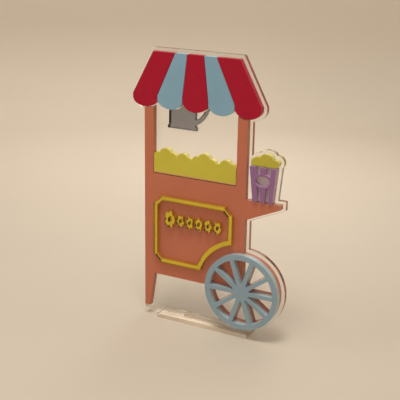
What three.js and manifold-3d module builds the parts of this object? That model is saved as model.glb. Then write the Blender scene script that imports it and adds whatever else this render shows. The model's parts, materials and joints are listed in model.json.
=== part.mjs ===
// Popcorn cart table ornament: flat acrylic sheets, cut to outline and laid on each other, standing in a
// slotted foot. Millimetres. X runs along the cart, +Y to the back, +Z up.
//
// Every outline is drawn flat, as (x, z) seen from the front, with x = 0 at the cart's left edge and z = 0 at
// the foot of its leg. The sheet is then given its thickness and stood up. The sheets lie in three layers:
// a clear sheet at the back, the cart, its awning and its popcorn on it like an inlay, and the trimmings on
// the cart.
import * as THREE from 'three';
import { mergeVertices } from 'three/addons/utils/BufferGeometryUtils.js';
import Module from 'manifold-3d';

const wasm = await Module();
wasm.setup();

// Sheets
const COLOUR_SHEET = 3;        // thickness of the cart, awning, wheel and popcorn
const THIN_SHEET = 2;          // thickness of the mirror trimmings and the cup
const CLEAR_SHEET = 2.2;       // thickness of the clear sheets
const MARGIN = 1.4;            // how far the clear sheet stands out round the cart
const GAP = 0.3;               // laser kerf left between pieces that meet edge to edge
const CIRCLE_STEPS = 64;       // segments in a full circle or ellipse
const WHEEL_STEPS = 90;        // segments in the wheel's circles
const LOBE_STEPS = 24;         // segments in each lobe of popcorn
const CUTTER_OVERRUN = 1;      // how far a cutter runs past what it cuts

// Layers, as the distance of a sheet's back face in front of the clear sheet
const ON_CLEAR = 0;
const ON_BODY = COLOUR_SHEET;
const ON_CUP = THIN_SHEET;

// Cart body
const BODY_WIDTH = 55.4;
const POST = 5;                // width of each post beside the window
const SILL_HEIGHT = 72.1;      // lower edge of the window
const BELLY_HEIGHT = 18.6;     // underside of the body
const LEG_TOP = 5.65;          // width of the leg where it leaves the body
const LEG_FOOT = 2.85;         // width of the leg at its foot
const POST_TOP = 108.5;        // the posts are drawn this high, then cut to the awning's scallops

// Tray
const TRAY_TOP = 66.2;
const TRAY_END = 73.6;
const TRAY_TIP = 2.1;          // height of the tray's blunt end
const TRAY_ROOT = 56;          // where its underside meets the body

// Awning: five stripes with scalloped ends
const AWNING_TOP = 132.6;
const AWNING_KNEE = 111.2;     // the slanted edges end here
const SCALLOP_START = 109.6;   // the half ellipses start here
const SCALLOP_DROP = 4.6;
const SCALLOP_PITCH = 13.8;
const STRIPE_TOP_EDGES = [-23, -10.9, -4.4, 4.4, 10.9, 23];   // from the cart's centre line
const STRIPE_COUNT = STRIPE_TOP_EDGES.length - 1;
const CART_CENTRE = BODY_WIDTH / 2;

// Wheel
const WHEEL_X = 55.7;
const WHEEL_RADIUS = 19.5;
const WHEEL_RIM = 2.7;
const WHEEL_HUB = 4.4;
const SPOKE_WIDTH = 2.1;
const SPOKE_COUNT = 10;
const BACKING_INSET = 0.3;     // the body's own ring is this much smaller than the wheel

// Panel frame
const PANEL = { left: 6, right: 49.6, bottom: 26, top: 61.4, band: 2.3, corner: 3.9, step: 1.1 };
const PANEL_CLEARANCE = 4.5;   // between the wheel and the frame's curved side

// Ornaments on the panel
const ORNAMENT_ROW = 49.9;
const ORNAMENT_LAST = 41.6;    // x of the last one; the others stand to its left
const ORNAMENT_PITCH = 5.1;
const ORNAMENT_COUNT = 6;
const ORNAMENT_SIZE = 3.4;     // half height
const ORNAMENT_LEAD = 1.4;     // the first one is this much larger
const ORNAMENT_SLIMNESS = 0.68;
const ORNAMENT_TURN = 2.2;     // radians, from one ornament to the next
const LOBE_RADII = [0.5, 0.4, 0.47, 0.36, 0.43];   // of the half height
const KERNEL_MIDDLE = 0.5;     // radius of the middle that joins the lobes, of the same
const KERNEL_HOLE = [0.2, 0.3];   // its half width and half height, of the same

// Kettle under the awning. Each edge of its handle is one curve: start, control point and end.
const KETTLE = { left: 13.1, right: 27.5, bottom: 95.9, lip: 1.6, lipOverhang: 0.6, top: 107.2 };
const HANDLE_LOWER_EDGE = [[27.4, 98.7], [31.6, 99.6], [34.6, 107.2]];
const HANDLE_UPPER_EDGE = [[27.4, 101.4], [30.8, 102.4], [33, 107.2]];

// Popcorn: each lobe is [x, z, radius]
const HEAP = { left: 5.3, right: 50.1, bottom: 72.7, top: 81.2 };
const HEAP_LOBES = [
  [7.35, 81.5, 2.05], [11.65, 82.25, 3.4], [15.6, 81.35, 2.3], [21.3, 81.35, 2.8], [24.6, 80.45, 2.1],
  [29, 81.25, 2.6], [33, 82.35, 3.3], [37, 81, 2.4], [40.6, 80, 1.9], [44.4, 81, 3.1], [47.8, 80.95, 1.8],
];
const CUP_LOBES = [
  [59.6, 85.8, 1.8], [61.2, 86.4, 1.9], [65, 87.1, 2.85], [66.4, 87.4, 2.3], [69.9, 85.8, 1.95],
];
const CUP_BED_HEIGHT = 2;      // the lobes in the cup stand on a bed of this height

// Cup on the tray
const CUP = { bottom: 66.5, top: 83.6, bottomLeft: 59.5, bottomRight: 69.4, topLeft: 57.5, topRight: 71 };
const CUP_STRIPES = [[0, 0.225], [0.41, 0.615], [0.81, 1]];   // fractions of the cup's width
const CUP_LABEL = { x: 64.3, z: 76.9, halfWidth: 3.8, halfHeight: 2.6, ring: 0.9 };

// Foot
const BASE = { left: 8, right: 59, top: -3, depth: 11 };
const TAB = { left: 21.5, right: 45.5 };
const TAB_PLAY = 0.2;          // round the tab in its slot, and under it
const SHOULDER_PLAY = 0.1;     // between the upright's lower edge and the foot

// ---------------------------------------------------------------------------------------------------------
// Solids

function solidOf(geometry) {
  const plain = geometry.clone();
  plain.deleteAttribute('normal');
  plain.deleteAttribute('uv');
  const merged = mergeVertices(plain);
  return new wasm.Manifold(new wasm.Mesh({
    numProp: 3,
    vertProperties: new Float32Array(merged.attributes.position.array),
    triVerts: new Uint32Array(merged.index.array),
  }));
}

function geometryOf(solid) {
  const { vertProperties, triVerts } = solid.getMesh();
  const geometry = new THREE.BufferGeometry();
  geometry.setAttribute('position', new THREE.BufferAttribute(vertProperties, 3));
  geometry.setIndex(new THREE.BufferAttribute(triVerts, 1));
  geometry.computeVertexNormals();
  return geometry;
}

function joined(solids) {
  return solids.reduce((whole, solid) => whole.add(solid));
}

// A flat sheet of an (x, z) outline, standing up, with its back face at y = -back.
function sheet(shape, back, thickness) {
  const geometry = new THREE.ExtrudeGeometry(shape, {
    depth: thickness,
    bevelEnabled: false,
    curveSegments: CIRCLE_STEPS / 2,
  });
  geometry.translate(0, 0, back);
  geometry.rotateX(Math.PI / 2);
  return solidOf(geometry);
}

function colourSheet(shape, layer) {
  return sheet(shape, layer, COLOUR_SHEET);
}

function thinSheet(shape, layer) {
  return sheet(shape, layer, THIN_SHEET);
}

function clearSheet(shape) {
  return sheet(shape, -CLEAR_SHEET, CLEAR_SHEET);
}

// Cuts an outline through every layer.
function cutter(shape) {
  return sheet(shape, ON_CLEAR - CUTTER_OVERRUN, 2 * COLOUR_SHEET + 2 * CUTTER_OVERRUN);
}

// ---------------------------------------------------------------------------------------------------------
// Outlines

function polygon(points) {
  return new THREE.Shape(points.map(([x, z]) => new THREE.Vector2(x, z)));
}

function rectangle(left, right, bottom, top) {
  return polygon([[left, bottom], [right, bottom], [right, top], [left, top]]);
}

function ellipse(x, z, halfWidth, halfHeight, steps = CIRCLE_STEPS) {
  const points = [];
  for (let i = 0; i < steps; i += 1) {
    const angle = 2 * Math.PI * i / steps;
    points.push([x + halfWidth * Math.cos(angle), z + halfHeight * Math.sin(angle)]);
  }
  return polygon(points);
}

// One stripe of the awning: straight sides down to the knee, then a half ellipse. grow moves it outwards.
function stripeOutline(index, grow) {
  const lower = (edge) => CART_CENTRE + (edge - STRIPE_COUNT / 2) * SCALLOP_PITCH;
  const upper = (edge) => CART_CENTRE + STRIPE_TOP_EDGES[edge];
  const upperShift = (edge) => {
    const slope = Math.abs(lower(edge) - upper(edge)) / (AWNING_TOP - AWNING_KNEE);
    return grow * (Math.sqrt(1 + slope * slope) - slope);
  };
  const halfWidth = SCALLOP_PITCH / 2 + grow;
  const shape = new THREE.Shape();
  shape.moveTo(upper(index + 1) + upperShift(index + 1), AWNING_TOP + grow);
  shape.lineTo(upper(index) - upperShift(index), AWNING_TOP + grow);
  shape.lineTo(lower(index) - grow, AWNING_KNEE);
  shape.absellipse(lower(index) + SCALLOP_PITCH / 2, SCALLOP_START, halfWidth, SCALLOP_DROP + grow,
    Math.PI, 2 * Math.PI, false);
  shape.lineTo(lower(index + 1) + grow, AWNING_KNEE);
  shape.closePath();
  return shape;
}

function awningCutter(grow) {
  const cutters = [];
  for (let i = 0; i < STRIPE_COUNT; i += 1) {
    cutters.push(cutter(stripeOutline(i, grow)));
  }
  return joined(cutters);
}

// ---------------------------------------------------------------------------------------------------------
// Cart and wheel

// The wheel's shape. The cart's own sheet has the same ring and spokes behind the wheel.
function wheelSolid(radius, layer) {
  const inside = WHEEL_RADIUS - WHEEL_RIM;
  const rim = ellipse(WHEEL_X, WHEEL_RADIUS, radius, radius, WHEEL_STEPS);
  rim.holes.push(ellipse(WHEEL_X, WHEEL_RADIUS, inside, inside, WHEEL_STEPS));
  const hub = ellipse(WHEEL_X, WHEEL_RADIUS, WHEEL_HUB, WHEEL_HUB, WHEEL_STEPS);
  const reach = WHEEL_RADIUS - WHEEL_RIM / 2;
  const solids = [colourSheet(rim, layer), colourSheet(hub, layer)];
  for (let i = 0; i < SPOKE_COUNT / 2; i += 1) {
    const angle = 2 * Math.PI * i / SPOKE_COUNT;
    const corner = (end, side) => [
      WHEEL_X + end * reach * Math.cos(angle) - side * SPOKE_WIDTH / 2 * Math.sin(angle),
      WHEEL_RADIUS + end * reach * Math.sin(angle) + side * SPOKE_WIDTH / 2 * Math.cos(angle),
    ];
    const spokePair = polygon([corner(-1, -1), corner(1, -1), corner(1, 1), corner(-1, 1)]);
    solids.push(colourSheet(spokePair, layer));
  }
  return joined(solids);
}

function cartBody() {
  const outline = polygon([
    [0, 0], [LEG_FOOT, 0], [LEG_TOP, BELLY_HEIGHT], [BODY_WIDTH, BELLY_HEIGHT],
    [BODY_WIDTH, TRAY_ROOT], [TRAY_END, TRAY_TOP - TRAY_TIP], [TRAY_END, TRAY_TOP], [BODY_WIDTH, TRAY_TOP],
    [BODY_WIDTH, POST_TOP], [BODY_WIDTH - POST, POST_TOP], [BODY_WIDTH - POST, SILL_HEIGHT],
    [POST, SILL_HEIGHT], [POST, POST_TOP], [0, POST_TOP],
  ]);
  const ring = wheelSolid(WHEEL_RADIUS - BACKING_INSET, ON_CLEAR);
  return colourSheet(outline, ON_CLEAR).add(ring).subtract(awningCutter(GAP));
}

// ---------------------------------------------------------------------------------------------------------
// Kettle and popcorn

function kettle() {
  const { left, right, bottom, lip, lipOverhang, top } = KETTLE;
  const [lowerStart, lowerControl, lowerEnd] = HANDLE_LOWER_EDGE;
  const [upperStart, upperControl, upperEnd] = HANDLE_UPPER_EDGE;
  const handle = new THREE.Shape();
  handle.moveTo(right - lip, lowerStart[1]);
  handle.lineTo(...lowerStart);
  handle.quadraticCurveTo(...lowerControl, ...lowerEnd);
  handle.lineTo(...upperEnd);
  handle.quadraticCurveTo(...upperControl, ...upperStart);
  handle.lineTo(right - lip, upperStart[1]);
  handle.closePath();
  const pot = rectangle(left, right, bottom, top);
  const rim = rectangle(left - lipOverhang, right + lipOverhang, bottom, bottom + lip);
  const solids = [pot, rim, handle].map((shape) => thinSheet(shape, ON_CLEAR));
  return joined(solids).subtract(awningCutter(GAP));
}

function popcorn(bed, lobes) {
  const rounds = lobes.map(([x, z, radius]) => ellipse(x, z, radius, radius, LOBE_STEPS));
  return joined([bed, ...rounds].map((shape) => colourSheet(shape, ON_CLEAR)));
}

function popcornHeap() {
  const { left, right, bottom, top } = HEAP;
  return popcorn(rectangle(left, right, bottom, top), HEAP_LOBES);
}

// The popcorn in the cup is cut off straight along the cup's brim.
function cupPopcorn() {
  const brim = CUP.top + GAP;
  const bed = rectangle(CUP.topLeft + GAP, CUP.topRight - GAP, brim, brim + CUP_BED_HEIGHT);
  const belowBrim = rectangle(CUP.topLeft - CUTTER_OVERRUN, CUP.topRight + CUTTER_OVERRUN, CUP.bottom, brim);
  return popcorn(bed, CUP_LOBES).subtract(cutter(belowBrim));
}

// ---------------------------------------------------------------------------------------------------------
// Cup

function cupOutline(grow) {
  return polygon([
    [CUP.bottomLeft - grow, CUP.bottom], [CUP.bottomRight + grow, CUP.bottom],
    [CUP.topRight + grow, CUP.top], [CUP.topLeft - grow, CUP.top],
  ]);
}

// The stripes follow the cup's taper. An oval ring joins them.
function cupStripes() {
  const atBottom = (fraction) => CUP.bottomLeft + fraction * (CUP.bottomRight - CUP.bottomLeft);
  const atTop = (fraction) => CUP.topLeft + fraction * (CUP.topRight - CUP.topLeft);
  const stripes = CUP_STRIPES.map(([from, to]) => polygon([
    [atBottom(from), CUP.bottom], [atBottom(to), CUP.bottom], [atTop(to), CUP.top], [atTop(from), CUP.top],
  ]));
  const { x, z, halfWidth, halfHeight, ring } = CUP_LABEL;
  const label = ellipse(x, z, halfWidth + ring, halfHeight + ring);
  const inside = cutter(ellipse(x, z, halfWidth, halfHeight));
  return joined([...stripes, label].map((shape) => thinSheet(shape, ON_CUP))).subtract(inside);
}

// ---------------------------------------------------------------------------------------------------------
// Panel frame and ornaments

// A slanted corner with a small step at each end, from its lower point to its upper one.
function steppedCorner(x, z, inwardsX, inwardsZ, corner, step) {
  return [
    [x, z + inwardsZ * corner],
    [x + inwardsX * step, z + inwardsZ * corner],
    [x + inwardsX * corner, z + inwardsZ * step],
    [x + inwardsX * corner, z],
  ];
}

// The frame's outline, moved inwards by inset. Its lower right corner curves round the wheel.
function panelOutline(inset, step) {
  const left = PANEL.left + inset;
  const right = PANEL.right - inset;
  const bottom = PANEL.bottom + inset;
  const top = PANEL.top - inset;
  const corner = PANEL.corner - inset * (2 - Math.SQRT2);
  const radius = WHEEL_RADIUS + PANEL_CLEARANCE + inset;
  const rise = bottom - WHEEL_RADIUS;
  const run = right - WHEEL_X;
  const startAngle = Math.atan2(rise, -Math.sqrt(radius ** 2 - rise ** 2));
  const endAngle = Math.atan2(Math.sqrt(radius ** 2 - run ** 2), run);
  const corners = [
    ...steppedCorner(right, top, -1, -1, corner, step),
    ...steppedCorner(left, top, 1, -1, corner, step).reverse(),
    ...steppedCorner(left, bottom, 1, 1, corner, step),
  ];
  const shape = new THREE.Shape();
  shape.absarc(WHEEL_X, WHEEL_RADIUS, radius, startAngle, endAngle, true);
  corners.forEach(([x, z]) => shape.lineTo(x, z));
  shape.closePath();
  return shape;
}

function panelFrame() {
  const opening = cutter(panelOutline(PANEL.band, 0));
  return thinSheet(panelOutline(0, PANEL.step), ON_BODY).subtract(opening);
}

// A popped kernel: uneven lobes round a small hole. turn moves the lobes round.
function ornament(x, z, size, turn) {
  const squeezed = (offsetX, offsetZ, width, height) => ellipse(
    x + ORNAMENT_SLIMNESS * size * offsetX, z + size * offsetZ,
    ORNAMENT_SLIMNESS * size * width, size * height, LOBE_STEPS,
  );
  const outlines = LOBE_RADII.map((radius, i) => {
    const angle = turn + 2 * Math.PI * i / LOBE_RADII.length;
    return squeezed((1 - radius) * Math.cos(angle), (1 - radius) * Math.sin(angle), radius, radius);
  });
  outlines.push(squeezed(0, 0, KERNEL_MIDDLE, KERNEL_MIDDLE));
  const hole = squeezed(0, 0, ...KERNEL_HOLE);
  return joined(outlines.map((outline) => thinSheet(outline, ON_BODY))).subtract(cutter(hole));
}

// ---------------------------------------------------------------------------------------------------------
// Clear sheets

// The upright's clear sheet stands out round everything that lies on it, and ends in a tab below.
function backPlate() {
  const bottom = BASE.top + SHOULDER_PLAY;
  const tabBottom = BASE.top - CLEAR_SHEET + TAB_PLAY;
  const traySlope = (TRAY_TOP - TRAY_TIP - TRAY_ROOT) / (TRAY_END - BODY_WIDTH);
  const trayDrop = MARGIN * (Math.hypot(1, traySlope) - traySlope);
  const tray = polygon([
    [CART_CENTRE, TRAY_ROOT], [BODY_WIDTH + MARGIN, TRAY_ROOT - trayDrop],
    [TRAY_END + MARGIN, TRAY_TOP - TRAY_TIP - trayDrop], [TRAY_END + MARGIN, TRAY_TOP + MARGIN],
    [CART_CENTRE, TRAY_TOP + MARGIN],
  ]);
  const shapes = [
    rectangle(-MARGIN, BODY_WIDTH + MARGIN, bottom, AWNING_KNEE),
    rectangle(TAB.left, TAB.right, tabBottom, bottom + MARGIN),
    ellipse(WHEEL_X, WHEEL_RADIUS, WHEEL_RADIUS + MARGIN, WHEEL_RADIUS + MARGIN, WHEEL_STEPS),
    tray,
    cupOutline(MARGIN),
    rectangle(BODY_WIDTH, CUP.bottomRight, CUP.bottom, CUP.top + CUP_BED_HEIGHT),
  ];
  for (let i = 0; i < STRIPE_COUNT; i += 1) {
    shapes.push(stripeOutline(i, MARGIN));
  }
  CUP_LOBES.forEach(([x, z, radius]) => shapes.push(ellipse(x, z, radius + MARGIN, radius + MARGIN)));
  return joined(shapes.map(clearSheet));
}

// The foot: a strip with a slot through it for the upright's tab.
function basePlate() {
  const middleZ = BASE.top - CLEAR_SHEET / 2;
  const plate = new THREE.BoxGeometry(BASE.right - BASE.left, BASE.depth, CLEAR_SHEET);
  plate.translate((BASE.left + BASE.right) / 2, CLEAR_SHEET / 2, middleZ);
  const slot = new THREE.BoxGeometry(
    TAB.right - TAB.left + 2 * TAB_PLAY,
    CLEAR_SHEET + 2 * TAB_PLAY,
    CLEAR_SHEET + 2 * CUTTER_OVERRUN,
  );
  slot.translate((TAB.left + TAB.right) / 2, CLEAR_SHEET / 2, middleZ);
  return solidOf(plate).subtract(solidOf(slot));
}

// ---------------------------------------------------------------------------------------------------------
// Assembly

const RED = { color: 0xa8172c, roughness: 0.18, metalness: 0 };
const SKY = { color: 0x86b4bd, roughness: 0.2, metalness: 0 };
const CORAL = { color: 0xb8674c, roughness: 0.22, metalness: 0 };
const CORN = { color: 0xbfae35, roughness: 0.22, metalness: 0 };
const LILAC = { color: 0xa58b97, roughness: 0.22, metalness: 0 };
const PURPLE = { color: 0x865a8a, roughness: 0.2, metalness: 0 };
const SILVER_MIRROR = { color: 0xb9b7b4, roughness: 0.05, metalness: 1 };
const GOLD_MIRROR = { color: 0xd8a92e, roughness: 0.08, metalness: 1 };
const CLEAR = { color: 0xf3f6f4, roughness: 0.04, metalness: 0, transparent: true, opacity: 0.3 };

const cart = new THREE.Group();

function addPiece(name, solid, finish) {
  const mesh = new THREE.Mesh(geometryOf(solid), new THREE.MeshStandardMaterial(finish));
  mesh.name = name;
  cart.add(mesh);
}

addPiece('base_plate', basePlate(), CLEAR);
addPiece('back_plate', backPlate(), CLEAR);
addPiece('cart_body', cartBody(), CORAL);
for (let i = 0; i < STRIPE_COUNT; i += 1) {
  const outline = stripeOutline(i, -GAP / 2);
  addPiece(`awning_stripe_${i + 1}`, colourSheet(outline, ON_CLEAR), i % 2 === 0 ? RED : SKY);
}
addPiece('kettle', kettle(), SILVER_MIRROR);
addPiece('popcorn_heap', popcornHeap(), CORN);
addPiece('panel_frame', panelFrame(), GOLD_MIRROR);
for (let i = 0; i < ORNAMENT_COUNT; i += 1) {
  const lead = i === 0 ? ORNAMENT_LEAD : 1;
  const x = ORNAMENT_LAST - (ORNAMENT_COUNT - 1 - i + (lead - 1) / 2) * ORNAMENT_PITCH;
  const solid = ornament(x, ORNAMENT_ROW, ORNAMENT_SIZE * lead, ORNAMENT_TURN * i);
  addPiece(`ornament_${i + 1}`, solid, GOLD_MIRROR);
}
addPiece('wheel', wheelSolid(WHEEL_RADIUS, ON_BODY), SKY);
addPiece('cup_back', thinSheet(cupOutline(0), ON_CLEAR), LILAC);
addPiece('cup_stripes', cupStripes(), PURPLE);
addPiece('cup_popcorn', cupPopcorn(), CORN);

// The origin goes under the middle of the whole ornament, on the face it stands on.
const leftmost = CART_CENTRE - STRIPE_COUNT / 2 * SCALLOP_PITCH - MARGIN;
const rightmost = WHEEL_X + WHEEL_RADIUS + MARGIN;
const frontmost = -(ON_BODY + COLOUR_SHEET);
const rearmost = (BASE.depth + CLEAR_SHEET) / 2;
cart.position.set(-(leftmost + rightmost) / 2, -(frontmost + rearmost) / 2, CLEAR_SHEET - BASE.top);

const group = new THREE.Group();
group.add(cart);

export default group;
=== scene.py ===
import json
import math

import bmesh
import bpy
from mathutils import Matrix, Vector


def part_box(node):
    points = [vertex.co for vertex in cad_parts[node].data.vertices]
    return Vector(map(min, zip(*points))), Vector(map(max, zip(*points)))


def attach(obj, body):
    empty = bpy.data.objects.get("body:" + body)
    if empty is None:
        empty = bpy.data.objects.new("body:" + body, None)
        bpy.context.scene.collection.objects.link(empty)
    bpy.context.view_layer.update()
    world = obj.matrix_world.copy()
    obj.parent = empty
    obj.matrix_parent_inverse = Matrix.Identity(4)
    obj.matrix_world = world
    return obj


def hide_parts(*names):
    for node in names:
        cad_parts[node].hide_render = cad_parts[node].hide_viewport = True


# A popcorn cart table ornament of layered laser-cut acrylic. Metres, in the CAD frame: X runs along the cart,
# +Y to the back, +Z up. Every sheet is rebuilt from its CAD solid with softly rounded cut edges.

MM = 0.001

# Sheets
EDGE_ROUNDING = 0.12 * MM      # of a laser-cut edge
FINE_EDGE_ROUNDING = 0.07 * MM    # of the small ornaments
ROUNDING_STEPS = 2
ROUNDING_PROFILE = 0.6         # 0.5 is round and 1 is square
LARGE_FACES_ONLY = 100         # the weight at which large faces alone set the normals of the rounded edges
SHARP_ANGLE = math.radians(28)    # edges sharper than this are rounded
FLAT_ANGLE = math.radians(0.5)    # facets flatter than this to each other are one face
WELD = 0.002 * MM
OPTICAL_CONTACT = 0.02 * MM    # the glued sheets sink this far into the clear one, so that no air is between
GLOW_STRIP_HEIGHT = 0.9 * MM         # the strip along the popcorn heap's bottom that is painted with coral-coloured light
COATING_INSET = 0.03 * MM      # keeps a mirror sheet's coating inside its cut sides
STRIPE_COUNT = 5
ORNAMENT_COUNT = 6

# Surfaces
NOISE_LOW = 0.3                # most of a noise texture's values lie between these two
NOISE_HIGH = 0.7
SIDE_TILT = 0.35               # a surface that faces across its sheet less than this is shaded as a cut side
FACE_TILT = 0.75               # and one that does so more than this as a face
HALF_TILT = 0.5                # tells a mirror sheet's cut sides from its faces in the mesh
ACRYLIC_IOR = 1.49
LAMP_TINT = (0.97, 0.96, 0.95)    # what clear acrylic leaves of the light that casts its shadow
SPECK_COLOUR = (0.8, 0.76, 0.7, 1)
SPECK_COVER = 0.35
RARE_SPECK = 0.9               # the share of the cells of the dust pattern that stay empty
CLEAN_SHARE = 0.75             # of a coloured sheet's roughness, where it is cleanest
SMUDGED_SHARE = 1.35           # and where it is most smudged
SCRATCH_ROUGHNESS = 0.12       # what a scratch adds to it
CUT_ROUGHNESS = 0.12           # and what a cut side adds
CLEAR_SMUDGED = 0.02           # roughness of clear acrylic where it is most smudged
CLEAR_CUT = 0.05               # what a cut side adds to it

# Floor and backdrop
FLOOR_DROP = 0.05 * MM         # keeps the floor clear of the foot's underside
FLOOR_RADIUS = 0.44
SWEEP_RADIUS = 0.09
WALL_TOP = 0.36
FLOOR_RINGS = (0.1, 0.4, 0.7, 1.0)    # shares of the floor's radius
FLOOR_SEGMENTS = 128
SWEEP_STEPS = 16
PAPER_COLOUR = (0.68, 0.62, 0.53)

# Lights
SOFTBOX_SIZE = 0.26
LIGHT_COLOUR = (1.0, 0.915, 0.822)
SURROUNDINGS_STRENGTH = 0.41
OBJECT_FOOT = Vector((0, 0, 0.03))    # the lights that don't shine straight down are aimed here

# Camera
CAMERA_AT = Vector((0.18834, -0.37099, 0.20289))
CAMERA_TARGET = Vector((-0.00485, -0.0003, 0.06631))
CAMERA_ROLL = math.radians(0.919)
CAMERA_LENS = 80.6
CAMERA_SENSOR = 36
CAMERA_NEAR_CLIP = 0.01
CAMERA_SHIFT_X = 0.0015

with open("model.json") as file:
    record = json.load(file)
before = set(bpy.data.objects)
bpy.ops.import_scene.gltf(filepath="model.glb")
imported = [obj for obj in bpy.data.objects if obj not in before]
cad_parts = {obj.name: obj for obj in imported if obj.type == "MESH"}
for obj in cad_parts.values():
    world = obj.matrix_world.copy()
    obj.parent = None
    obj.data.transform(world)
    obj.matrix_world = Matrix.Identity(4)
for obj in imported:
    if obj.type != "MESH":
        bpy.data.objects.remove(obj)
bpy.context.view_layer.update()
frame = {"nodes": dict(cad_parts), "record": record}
nodes = frame["nodes"]


# -----------------------------------------------------------------------------------------------------------
# Node tree helpers

MIX_FACTOR, MIX_FIRST, MIX_SECOND, MIX_RESULT = 0, 6, 7, 2    # the colour sockets of a Mix node


def put(tree, kind, inputs=None, **settings):
    """Adds a shader node. An input given as a socket is linked, and any other value is set on it."""
    made = tree.nodes.new(kind)
    for name, value in settings.items():
        setattr(made, name, value)
    for name, value in (inputs or {}).items():
        if isinstance(value, bpy.types.NodeSocket):
            tree.links.new(value, made.inputs[name])
        else:
            made.inputs[name].default_value = value
    return made


def new_tree(name):
    material = bpy.data.materials.new(name)
    material.use_nodes = True
    material.node_tree.nodes.clear()
    return material, material.node_tree


def math_node(tree, operation, *values):
    made = put(tree, "ShaderNodeMath", dict(enumerate(values)), operation=operation)
    return made.outputs[0]


def remap(tree, value, from_low, from_high, to_low, to_high):
    made = put(tree, "ShaderNodeMapRange", {
        "Value": value, "From Min": from_low, "From Max": from_high, "To Min": to_low, "To Max": to_high,
    })
    return made.outputs["Result"]


def stretched(tree, scale):
    """The place on the piece, in metres, multiplied along each axis."""
    place = put(tree, "ShaderNodeTexCoord").outputs["Object"]
    made = put(tree, "ShaderNodeVectorMath", {0: place, 1: scale}, operation="MULTIPLY")
    return made.outputs["Vector"]


def noise(tree, scale, detail=2.0):
    """Noise with about this many features to the metre along each axis."""
    made = put(tree, "ShaderNodeTexNoise", {
        "Vector": stretched(tree, scale), "Scale": 1.0, "Detail": detail, "Roughness": 0.55,
    })
    return made.outputs["Fac"]


def noise_between(tree, scale, detail, low, high):
    """Noise whose usual values run from low to high."""
    return remap(tree, noise(tree, scale, detail), NOISE_LOW, NOISE_HIGH, low, high)


def mixed_colour(tree, factor, first, second):
    """The first colour where the factor is 0, and the second where it is 1."""
    made = put(tree, "ShaderNodeMix", {MIX_FACTOR: factor, MIX_FIRST: first, MIX_SECOND: second},
               data_type="RGBA")
    return made.outputs[MIX_RESULT]


def shade(colour, factor):
    return (colour[0] * factor, colour[1] * factor, colour[2] * factor, 1.0)


def uneven_colour(tree, colour, factor, darkest, palest):
    """The colour, between two of its shades."""
    return mixed_colour(tree, factor, shade(colour, darkest), shade(colour, palest))


# -----------------------------------------------------------------------------------------------------------
# Surface details that the acrylics share

def cut_side(tree, across="Y"):
    """1 on a sheet's laser-cut sides, 0 on its faces. across is the axis that its thickness lies along."""
    normal = put(tree, "ShaderNodeTexCoord").outputs["Normal"]
    split = put(tree, "ShaderNodeSeparateXYZ", {0: normal})
    facing = math_node(tree, "ABSOLUTE", split.outputs[across])
    return remap(tree, facing, SIDE_TILT, FACE_TILT, 1.0, 0.0)


def cut_marks(tree, side):
    """The fine lines that a laser leaves across a cut side, from front to back."""
    lines = noise(tree, (2600, 90, 2600), 1.0)
    return math_node(tree, "MULTIPLY", lines, side)


def smudges(tree):
    """Finger marks a few centimetres across."""
    return noise(tree, (38, 38, 38), 3.0)


def dust(tree):
    """Sparse specks a few tenths of a millimetre across."""
    cells = put(tree, "ShaderNodeTexVoronoi", {
        "Vector": stretched(tree, (620, 620, 620)), "Scale": 1.0,
    }, feature="F1")
    near = remap(tree, cells.outputs["Distance"], 0.06, 0.12, 1.0, 0.0)
    chosen = put(tree, "ShaderNodeSeparateColor", {0: cells.outputs["Color"]}).outputs["Red"]
    rare = math_node(tree, "GREATER_THAN", chosen, RARE_SPECK)
    return math_node(tree, "MULTIPLY", near, rare)


def hairlines(tree):
    """Faint scratches in two directions."""
    first = noise(tree, (60, 60, 5200), 0.0)
    second = noise(tree, (4600, 80, 260), 0.0)
    strongest = math_node(tree, "MAXIMUM", first, second)
    return remap(tree, strongest, 0.74, 0.8, 0.0, 1.0)


def relief(tree, side, cut_depth, waviness):
    """The bump of a sheet: cut marks on its sides and a slight waviness on its faces."""
    marks = put(tree, "ShaderNodeBump", {
        "Height": cut_marks(tree, side), "Distance": cut_depth, "Strength": 0.8,
    })
    waves = put(tree, "ShaderNodeBump", {
        "Height": noise(tree, (70, 70, 70), 1.0), "Distance": waviness, "Strength": 0.6,
        "Normal": marks.outputs["Normal"],
    })
    return waves.outputs["Normal"]


# -----------------------------------------------------------------------------------------------------------
# Materials

def near_bottom(tree, bottom, height):
    """1 on the strip of this height above the bottom, with a soft upper margin. 0 above it."""
    place = put(tree, "ShaderNodeTexCoord").outputs["Object"]
    split = put(tree, "ShaderNodeSeparateXYZ", {0: place})
    return remap(tree, split.outputs["Z"], bottom + 0.7 * height, bottom + height, 1.0, 0.0)


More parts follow.
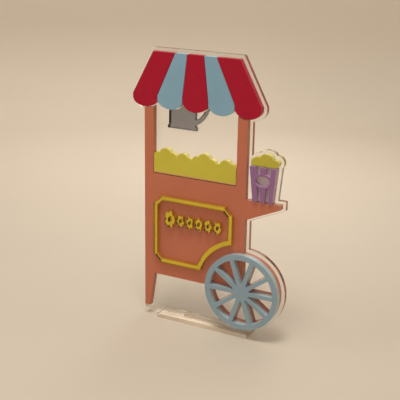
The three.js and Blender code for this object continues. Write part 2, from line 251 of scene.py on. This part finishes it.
def opaque_acrylic(name, colour, lit_side_colour=None, roughness=0.13, gloss=0.35, glow_strip=None, metal=0.0):
    """Coloured cast acrylic: glossy faces with faint smudges, and a duller cut side whose own colour carries
    painted light: mostly paler, for the light that comes out through the sheet's sides.
    The optional bottom height and colour paint a strip of light in the neighbour's colour along the piece's
    lower edge, for light that the neighbouring sheet throws onto it. metal is how much the surface reflects
    like metal.
    """
    material, tree = new_tree(name)
    side = cut_side(tree)
    face = uneven_colour(tree, colour, noise_between(tree, (55, 55, 55), 3.0, 0.0, 1.0), 0.96, 1.04)
    streaks = noise_between(tree, (2200, 60, 2200), 1.0, 0.0, 1.0)
    # Painted light: the cut sides take their own colour, which stands in for the light that falls on them and
    # passes out through the sheet.
    cut = uneven_colour(tree, lit_side_colour or colour, streaks, 0.88, 1.1)
    plain = mixed_colour(tree, side, face, cut)
    # Painted light: a strip in the neighbour's colour along the lower edge, for light that the neighbouring
    # sheet throws onto it.
    if glow_strip:
        glow_bottom, glow_colour = glow_strip
        strip = near_bottom(tree, glow_bottom, GLOW_STRIP_HEIGHT)
        plain = mixed_colour(tree, strip, plain, (*glow_colour, 1))
    specks = math_node(tree, "MULTIPLY", dust(tree), SPECK_COVER)
    specked = mixed_colour(tree, specks, plain, SPECK_COLOUR)
    polish = remap(tree, smudges(tree), NOISE_LOW, NOISE_HIGH,
                   roughness * CLEAN_SHARE, roughness * SMUDGED_SHARE)
    scuffed = math_node(tree, "MULTIPLY_ADD", hairlines(tree), SCRATCH_ROUGHNESS, polish)
    rough = math_node(tree, "MULTIPLY_ADD", side, CUT_ROUGHNESS, scuffed)
    shader = put(tree, "ShaderNodeBsdfPrincipled", {
        "Base Color": specked, "Roughness": rough, "IOR": ACRYLIC_IOR, "Specular IOR Level": gloss,
        "Metallic": metal, "Normal": relief(tree, side, 0.012 * MM, 0.006 * MM),
    })
    put(tree, "ShaderNodeOutputMaterial", {"Surface": shader.outputs[0]})
    return material


def clear_acrylic(name, tint, lamp_tint=LAMP_TINT, across="Y", frost=0.0, edge_reflection_colour=None):
    """Clear acrylic. Rays from the lights pass straight through it, so that it casts a faint shadow.
    frost is the share of the light that its cut sides scatter, in a colour that is a painted reflection of
    what the cut sides show.
    """
    material, tree = new_tree(name)
    side = cut_side(tree, across)
    polish = remap(tree, smudges(tree), 0.35, 0.75, 0.0, CLEAR_SMUDGED)
    rough = math_node(tree, "MULTIPLY_ADD", side, CLEAR_CUT, polish)
    glass = put(tree, "ShaderNodeBsdfPrincipled", {
        "Base Color": (*tint, 1), "Roughness": rough, "IOR": ACRYLIC_IOR, "Transmission Weight": 1.0,
        "Normal": relief(tree, side, 0.0006 * MM, 0.002 * MM),
    })
    body = glass.outputs[0]
    if frost:
        frosting = put(tree, "ShaderNodeBsdfDiffuse", {"Color": (*edge_reflection_colour, 1)})
        frosted = put(tree, "ShaderNodeMixShader", {
            0: math_node(tree, "MULTIPLY", side, frost), 1: body, 2: frosting.outputs[0],
        })
        body = frosted.outputs[0]
    passing = put(tree, "ShaderNodeBsdfTransparent", {"Color": (*lamp_tint, 1)})
    lamp_ray = put(tree, "ShaderNodeLightPath").outputs["Is Shadow Ray"]
    shader = put(tree, "ShaderNodeMixShader", {0: lamp_ray, 1: body, 2: passing.outputs[0]})
    put(tree, "ShaderNodeOutputMaterial", {"Surface": shader.outputs[0]})
    return material


def mirror_coating(name, colour):
    """The reflecting back of a mirror sheet."""
    material, tree = new_tree(name)
    waves = put(tree, "ShaderNodeBump", {
        "Height": noise(tree, (110, 110, 110), 1.0), "Distance": 0.006 * MM, "Strength": 0.7,
    })
    cloud = noise_between(tree, (90, 90, 90), 3.0, 0.0, 1.0)
    rough = remap(tree, smudges(tree), NOISE_LOW, NOISE_HIGH, 0.05, 0.11)
    shader = put(tree, "ShaderNodeBsdfPrincipled", {
        "Base Color": uneven_colour(tree, colour, cloud, 0.94, 1.05), "Roughness": rough,
        "Metallic": 1.0, "Normal": waves.outputs["Normal"],
    })
    put(tree, "ShaderNodeOutputMaterial", {"Surface": shader.outputs[0]})
    return material


def backing_paint(name, colour):
    """The grey protective paint behind a mirror sheet."""
    material, tree = new_tree(name)
    grain = noise_between(tree, (900, 900, 900), 2.0, 0.0, 1.0)
    bump = put(tree, "ShaderNodeBump", {"Height": grain, "Distance": 0.01 * MM, "Strength": 0.5})
    shader = put(tree, "ShaderNodeBsdfPrincipled", {
        "Base Color": uneven_colour(tree, colour, grain, 0.85, 1.15), "Roughness": 0.55,
        "Normal": bump.outputs["Normal"],
    })
    put(tree, "ShaderNodeOutputMaterial", {"Surface": shader.outputs[0]})
    return material


def paper(name, colour):
    """Plain matt paper, very slightly uneven in tone."""
    material, tree = new_tree(name)
    cloud = noise_between(tree, (9, 9, 9), 3.0, 0.0, 1.0)
    grain = put(tree, "ShaderNodeBump", {
        "Height": noise(tree, (1500, 1500, 1500), 3.0), "Distance": 0.02 * MM, "Strength": 0.4,
    })
    shader = put(tree, "ShaderNodeBsdfPrincipled", {
        "Base Color": uneven_colour(tree, colour, cloud, 0.985, 1.015), "Roughness": 0.7,
        "Normal": grain.outputs["Normal"],
    })
    put(tree, "ShaderNodeOutputMaterial", {"Surface": shader.outputs[0]})
    return material


# Each acrylic's second colour is its cut sides' colour, with painted light: mostly paler than the face, for
# the light that comes out through the sheet's sides. The lilac's sides are darker.
CORAL = opaque_acrylic("coral_acrylic", (0.545, 0.172, 0.097), (0.56, 0.22, 0.14))
RED = opaque_acrylic("red_acrylic", (0.425, 0.0078, 0.034), (0.5, 0.035, 0.07), gloss=0.2)
SKY = opaque_acrylic("sky_acrylic", (0.24, 0.437, 0.597), (0.46, 0.62, 0.74))
SLATE = opaque_acrylic("slate_acrylic", (0.272, 0.395, 0.493), (0.42, 0.53, 0.6))
# The popcorn heap gets a strip of painted coral-coloured light along its lower edge.
CORN = opaque_acrylic("corn_acrylic", (0.62, 0.55, 0.059), (0.82, 0.74, 0.25),
                      glow_strip=(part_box("popcorn_heap")[0].z, (0.66, 0.42, 0.12)))
CUP_CORN = opaque_acrylic("cup_corn_acrylic", (0.55, 0.492, 0.053), (0.76, 0.7, 0.22))
LILAC = opaque_acrylic("lilac_acrylic", (0.66, 0.56, 0.575), (0.56, 0.42, 0.48))
PURPLE = opaque_acrylic("purple_acrylic", (0.313, 0.148, 0.333), (0.52, 0.34, 0.6))
# Frosted cut sides, with painted reflection: their pink-brown tint stands in for the coral and red sheets
# reflected in them.
CLEAR = clear_acrylic("clear_acrylic", (0.96, 0.96, 0.95), frost=0.2, edge_reflection_colour=(0.66, 0.45, 0.38))
# Frosted cut sides, with painted reflection: their beige tint stands in for the paper that the foot's sides
# show.
FOOT = clear_acrylic("clear_acrylic_foot", (0.94, 0.91, 0.88), across="Z",
                     frost=0.5, edge_reflection_colour=(0.84, 0.75, 0.62))
SILVER_BODY = clear_acrylic("silver_mirror_face", (0.97, 0.97, 0.96), (0.97, 0.97, 0.96))
GOLD_BODY = clear_acrylic("gold_mirror_face", (0.97, 0.8, 0.28), (0.97, 0.8, 0.28))
SILVER_SIDE = opaque_acrylic("silver_mirror_side", (0.3, 0.29, 0.28), roughness=0.2)
# Painted shade: this near-black goes on the kettle's cut sides that face left and down, for the unlit
# surroundings that they reflect.
SILVER_SHADED_SIDE = opaque_acrylic("silver_mirror_painted_shade", (0.006, 0.005, 0.003), roughness=0.3, gloss=0.08)
GOLD_SIDE = opaque_acrylic("gold_mirror_side", (0.7, 0.5, 0.08), roughness=0.3, metal=0.8)
# Painted shade: this dark brown goes on the gold sheets' cut sides that face left and down, for the unlit
# surroundings that they reflect.
GOLD_SHADED_SIDE = opaque_acrylic("gold_mirror_painted_shade", (0.2, 0.1, 0.02), roughness=0.3, gloss=0.1)
SILVERING = mirror_coating("silvering", (0.395, 0.405, 0.465))
GILDING = mirror_coating("gilding", (0.77, 0.7, 0.1))
BACKING = backing_paint("mirror_backing_paint", (0.2, 0.19, 0.18))

# Each kind of mirror sheet: its materials, how much of its thickness its coating takes up, and the direction
# that its cut sides with painted shade face, with how many radians they may turn away from it. Those sides
# are painted dark for the unlit surroundings that they reflect.
SILVER_MIRROR = {
    "body": SILVER_BODY, "side": SILVER_SIDE, "painted_shade": SILVER_SHADED_SIDE, "coating": SILVERING,
    "coating_share": 0.04,
    "painted_shade_facing": Vector((-0.9, 0, -0.43)).normalized(), "painted_shade_spread": 0.9,
}
GOLD_MIRROR = {
    "body": GOLD_BODY, "side": GOLD_SIDE, "painted_shade": GOLD_SHADED_SIDE, "coating": GILDING,
    "coating_share": 0.4,
    "painted_shade_facing": Vector((-0.7, 0, -0.71)).normalized(), "painted_shade_spread": 0.35,
}
FACE_INDEX, SIDE_INDEX, PAINTED_SHADE_INDEX, BACKING_INDEX = range(4)    # of a mirror sheet's materials


# -----------------------------------------------------------------------------------------------------------
# Pieces

def solid_of(node):
    """The CAD node's solid as flat faces, with its facets joined again."""
    shape = bmesh.new()
    shape.from_mesh(nodes[node].data)
    bmesh.ops.remove_doubles(shape, verts=shape.verts, dist=WELD)
    bmesh.ops.dissolve_limit(shape, angle_limit=FLAT_ANGLE, verts=shape.verts, edges=shape.edges)
    return shape


def round_edges(shape, rounding):
    sharp = [e for e in shape.edges if len(e.link_faces) == 2 and e.calc_face_angle() > SHARP_ANGLE]
    bmesh.ops.bevel(shape, geom=sharp, offset=rounding, segments=ROUNDING_STEPS,
                    profile=ROUNDING_PROFILE, affect="EDGES", clamp_overlap=True)


def finished(name, shape, materials, slot, body, *replaced):
    """Makes the object: smooth, with its large faces kept flat, riding on its body.
    replaced holds the CAD nodes that it stands for.
    """
    for face in shape.faces:
        face.smooth = True
    mesh = bpy.data.meshes.new(name)
    shape.to_mesh(mesh)
    shape.free()
    for material in materials:
        mesh.materials.append(material)
    piece = bpy.data.objects.new(name, mesh)
    bpy.context.scene.collection.objects.link(piece)
    normals = piece.modifiers.new("flat_faces", "WEIGHTED_NORMAL")
    normals.weight = LARGE_FACES_ONLY
    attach(piece, body)
    if replaced:
        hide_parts(*replaced)


def body_of(node):
    """The name of the body that carries the node."""
    for body, members in frame["record"]["behaviour"]["bodies"].items():
        if node in members:
            return body


def slot_of(node):
    """The material slot that the record gives the node."""
    for part in frame["record"]["subparts"]:
        if part["node"] == node:
            return part["material_slot"]


def sheet(node, material):
    """An opaque sheet, or the clear foot."""
    shape = solid_of(node)
    round_edges(shape, EDGE_ROUNDING)
    finished(node + "_sheet", shape, [material], slot_of(node), body_of(node), node)


def clear_back(node, material):
    """The clear sheet. Its front comes forward a little, so that the glued sheets sit in it without a gap."""
    shape = solid_of(node)
    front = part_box(node)[0].y
    for corner in shape.verts:
        if corner.co.y < front + OPTICAL_CONTACT:
            corner.co.y = front - OPTICAL_CONTACT
    round_edges(shape, EDGE_ROUNDING)
    finished(node + "_sheet", shape, [material], slot_of(node), body_of(node), node)


def mark_cut_sides(shape, mirror):
    """Tells the cut sides, and those among them that get painted shade, from the faces."""
    for part in shape.faces:
        is_side = abs(part.normal.y) < HALF_TILT
        gets_painted_shade = part.normal.dot(mirror["painted_shade_facing"]) > math.cos(mirror["painted_shade_spread"])
        part.material_index = (PAINTED_SHADE_INDEX if gets_painted_shade else SIDE_INDEX) if is_side else FACE_INDEX


def coating_shape(node, mirror):
    """The coloured, reflecting back part of a mirror sheet, just inside its cut sides."""
    shape = solid_of(node)
    front_y, back_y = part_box(node)[0].y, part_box(node)[1].y
    for corner in shape.verts:
        outward = Vector((corner.normal.x, 0, corner.normal.z))
        corner.co -= COATING_INSET * outward.normalized()
        if corner.co.y < (front_y + back_y) / 2:
            corner.co.y = back_y - mirror["coating_share"] * (back_y - front_y)
    shape.normal_update()
    mark_cut_sides(shape, mirror)
    for part in shape.faces:
        if part.normal.y > HALF_TILT:
            part.material_index = BACKING_INDEX
    return shape


def mirror_sheet(node, mirror, rounding=EDGE_ROUNDING):
    """A mirror sheet is clear in front, with dull cut sides and a reflecting, painted back."""
    shape = solid_of(node)
    round_edges(shape, rounding)
    mark_cut_sides(shape, mirror)
    clear_materials = [mirror["body"], mirror["side"], mirror["painted_shade"]]
    finished(node + "_sheet", shape, clear_materials, slot_of(node), body_of(node), node)
    coating_materials = [mirror["coating"], mirror["side"], mirror["painted_shade"], BACKING]
    finished(node + "_coating", coating_shape(node, mirror), coating_materials, slot_of(node), body_of(node))


clear_back("back_plate", CLEAR)
sheet("base_plate", FOOT)
sheet("cart_body", CORAL)
for stripe in range(1, STRIPE_COUNT + 1):
    sheet(f"awning_stripe_{stripe}", RED if stripe % 2 else SKY)
sheet("popcorn_heap", CORN)
sheet("wheel", SLATE)
sheet("cup_back", LILAC)
sheet("cup_stripes", PURPLE)
sheet("cup_popcorn", CUP_CORN)
mirror_sheet("kettle", SILVER_MIRROR)
mirror_sheet("panel_frame", GOLD_MIRROR)
for ornament in range(1, ORNAMENT_COUNT + 1):
    mirror_sheet(f"ornament_{ornament}", GOLD_MIRROR, FINE_EDGE_ROUNDING)


# -----------------------------------------------------------------------------------------------------------
# Floor, lights and camera

def floor():
    """A round paper floor whose rim curves up into a wall."""
    rings = [(FLOOR_RADIUS * share, 0.0) for share in FLOOR_RINGS]
    for step in range(1, SWEEP_STEPS + 1):
        angle = math.pi / 2 * step / SWEEP_STEPS
        radius = FLOOR_RADIUS + SWEEP_RADIUS * math.sin(angle)
        rings.append((radius, SWEEP_RADIUS * (1 - math.cos(angle))))
    rings.append((FLOOR_RADIUS + SWEEP_RADIUS, WALL_TOP))
    shape = bmesh.new()
    middle = shape.verts.new((0, 0, -FLOOR_DROP))
    loops = []
    for radius, height in rings:
        loop = []
        for i in range(FLOOR_SEGMENTS):
            angle = 2 * math.pi * i / FLOOR_SEGMENTS
            x = radius * math.cos(angle)
            y = radius * math.sin(angle)
            loop.append(shape.verts.new((x, y, height - FLOOR_DROP)))
        loops.append(loop)
    for i in range(FLOOR_SEGMENTS):
        following = (i + 1) % FLOOR_SEGMENTS
        shape.faces.new((middle, loops[0][i], loops[0][following]))
        for inner, outer in zip(loops, loops[1:]):
            shape.faces.new((inner[i], outer[i], outer[following], inner[following]))
    for face in shape.faces:
        face.smooth = True
    mesh = bpy.data.meshes.new("floor")
    shape.to_mesh(mesh)
    shape.free()
    mesh.materials.append(paper("pale_paper", PAPER_COLOUR))
    made = bpy.data.objects.new("floor", mesh)
    bpy.context.scene.collection.objects.link(made)


def softbox(name, place, power, target=None, spread=180):
    """A round soft light of this power in watts. It shines straight down unless it has a target.
    spread is in degrees, and a small one gathers the light in front of the lamp.
    """
    light = bpy.data.lights.new(name, "AREA")
    light.shape = "DISK"
    light.size = SOFTBOX_SIZE
    light.energy = power
    light.color = LIGHT_COLOUR
    light.spread = math.radians(spread)
    made = bpy.data.objects.new(name, light)
    made.location = place
    if target is not None:
        made.rotation_euler = (target - made.location).to_track_quat("-Z", "Y").to_euler()
    bpy.context.scene.collection.objects.link(made)


def surroundings(colour, strength):
    world = bpy.data.worlds.new("studio")
    bpy.context.scene.world = world
    world.use_nodes = True
    background = world.node_tree.nodes["Background"]
    background.inputs["Color"].default_value = (*colour, 1)
    background.inputs["Strength"].default_value = strength


def camera():
    data = bpy.data.cameras.new("camera")
    data.lens = CAMERA_LENS
    data.sensor_width = CAMERA_SENSOR
    data.shift_x = CAMERA_SHIFT_X
    data.clip_start = CAMERA_NEAR_CLIP
    made = bpy.data.objects.new("camera", data)
    bpy.context.scene.collection.objects.link(made)
    made.location = CAMERA_AT
    aim = (CAMERA_TARGET - CAMERA_AT).to_track_quat("-Z", "Y")
    made.rotation_mode = "QUATERNION"
    made.rotation_quaternion = aim @ Matrix.Rotation(CAMERA_ROLL, 3, "Z").to_quaternion()
    bpy.context.scene.camera = made


floor()
surroundings(LIGHT_COLOUR, SURROUNDINGS_STRENGTH)
softbox("overhead", (0.03, -0.2, 0.69), power=2.05, target=OBJECT_FOOT)
softbox("left_fill", (-0.375, -0.217, 0.25), power=0.23, target=OBJECT_FOOT)
softbox("near_floor", (0.1, -0.24, 0.55), power=0.065, spread=70)
softbox("backdrop_left", (-0.3, 0.28, 0.45), power=0.105, spread=75)
softbox("backdrop_right", (-0.1, 0.28, 0.45), power=0.18, spread=75)
softbox("behind", (-0.05, 0.42, 0.34), power=0.035, target=OBJECT_FOOT, spread=60)
camera()
bpy.context.scene.view_settings.view_transform = "Standard"
